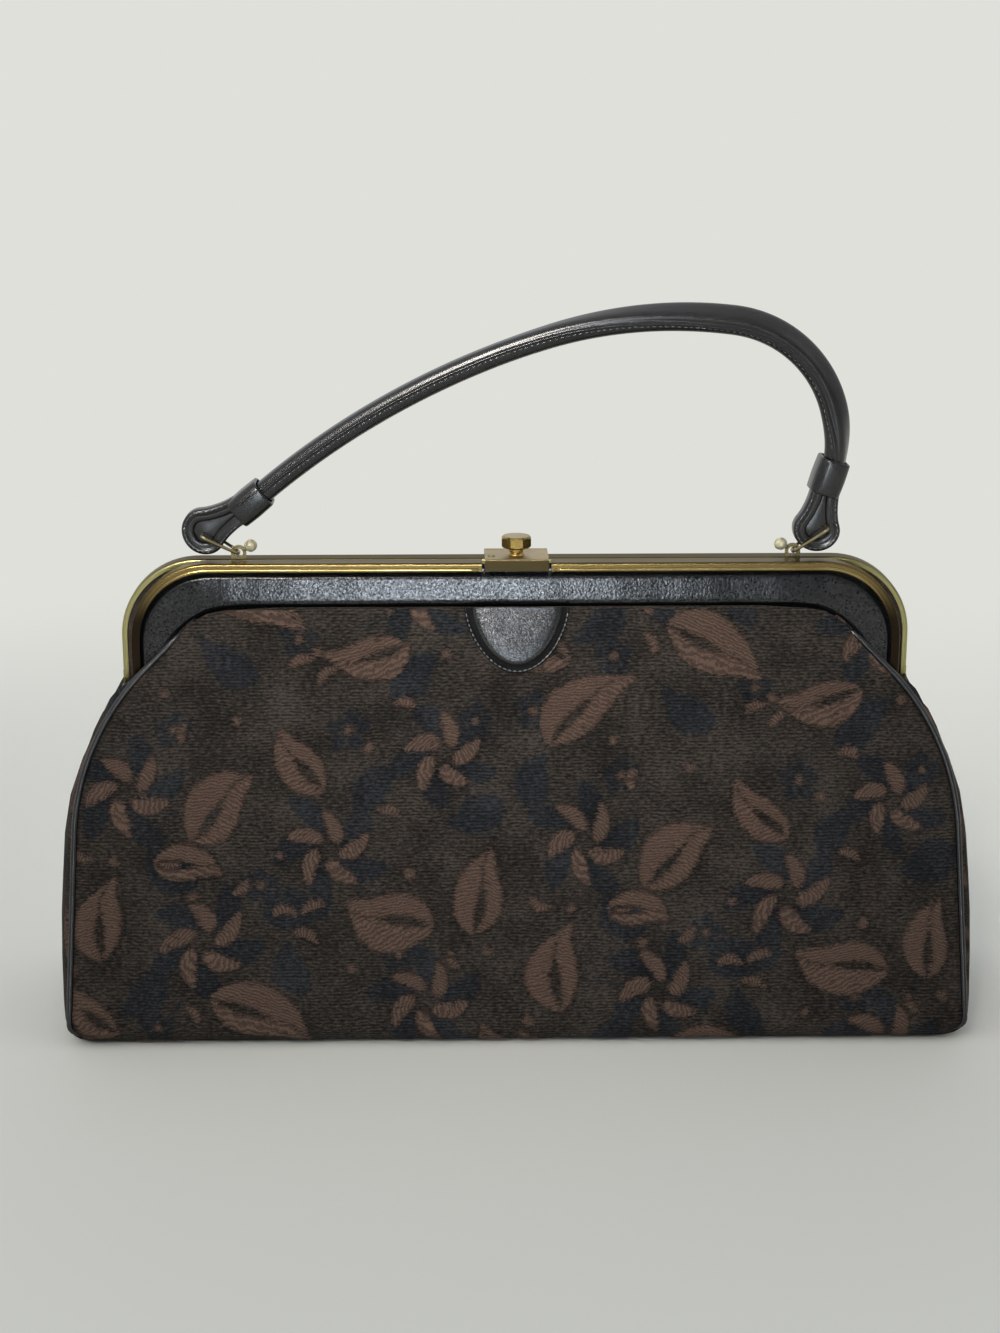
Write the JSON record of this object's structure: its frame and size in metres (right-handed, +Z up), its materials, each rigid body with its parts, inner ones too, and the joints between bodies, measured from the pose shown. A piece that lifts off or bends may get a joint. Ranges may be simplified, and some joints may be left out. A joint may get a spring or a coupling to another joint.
{
  "type": "frame purse",
  "caption": "Brocade handbag on a hinged brass frame with a flip clasp, leather trim and a stiff arched leather handle; the frame halves swing apart to open the mouth.",
  "frame": {"origin": "on the ground under the middle of the bag", "axes": "+X to the viewer's right along the frame, +Y to the back, +Z up"},
  "size_m": [0.3418, 0.0968, 0.265],
  "materials": {
    "brocade": "woven brocade",
    "black_leather": "smooth, satin",
    "piping_leather": "satin",
    "facing_leather": "smooth",
    "frame_brass": "polished",
    "spring_steel": "bright",
    "lining_cloth": "faille",
    "fibreboard": "pressed board",
    "core_cord": "twisted cotton"
  },
  "bodies": {
    "pouch": {"body_wrap": "brocade", "gusset_left": "brocade", "gusset_right": "brocade", "piping_front_left": "piping_leather", "piping_front_right": "piping_leather", "piping_back_left": "piping_leather", "piping_back_right": "piping_leather", "base_board": "fibreboard", "front_stiffener": "fibreboard", "back_stiffener": "fibreboard", "lining": "lining_cloth"},
    "rear_frame": {"rear_channel": "frame_brass", "rear_cover": "black_leather", "rear_facing": "facing_leather", "hinge_rivet_left": "frame_brass", "hinge_rivet_right": "frame_brass", "hinge_washer_left": "frame_brass", "hinge_washer_right": "frame_brass", "handle_lug_left": "frame_brass", "handle_lug_right": "frame_brass", "clasp_hinge_base": "frame_brass", "clasp_hinge_pin": "frame_brass"},
    "front_frame": {"front_channel": "frame_brass", "front_cover": "black_leather", "front_facing": "facing_leather", "front_tab": "black_leather", "clasp_keeper": "frame_brass"},
    "clasp_flap": {"clasp_plate": "frame_brass", "clasp_knob": "frame_brass", "clasp_spring": "spring_steel", "clasp_rivet": "frame_brass"},
    "handle": {"handle_strap": "black_leather", "handle_core": "core_cord", "handle_keeper_left": "black_leather", "handle_keeper_right": "black_leather", "handle_loop_left": "black_leather", "handle_loop_right": "black_leather", "handle_ring_left": "frame_brass", "handle_ring_right": "frame_brass"}
  },
  "joints": [
    {"name": "rear_open", "type": "hinge", "parent": "pouch", "child": "rear_frame", "pos_m": [0, 0, 0.122], "axis": [-1, 0, 0], "range_deg": [0, 35], "deforming": ["body_wrap", "piping_front_left", "piping_front_right", "piping_back_left", "piping_back_right", "clasp_spring"]},
    {"name": "front_open", "type": "hinge", "parent": "pouch", "child": "front_frame", "pos_m": [0, 0, 0.122], "axis": [1, 0, 0], "range_deg": [0, 35]},
    {"name": "clasp_lift", "type": "hinge", "parent": "rear_frame", "child": "clasp_flap", "pos_m": [0, 0.0102, 0.1726], "axis": [-1, 0, 0], "range_deg": [0, 80]},
    {"name": "handle_swing", "type": "hinge", "parent": "rear_frame", "child": "handle", "pos_m": [0, 0.0016, 0.175], "axis": [1, 0, 0], "range_deg": [-45, 45]}
  ],
  "couplings": [
    {"joint": "front_open", "follows": "rear_open", "ratio": 1}
  ]
}
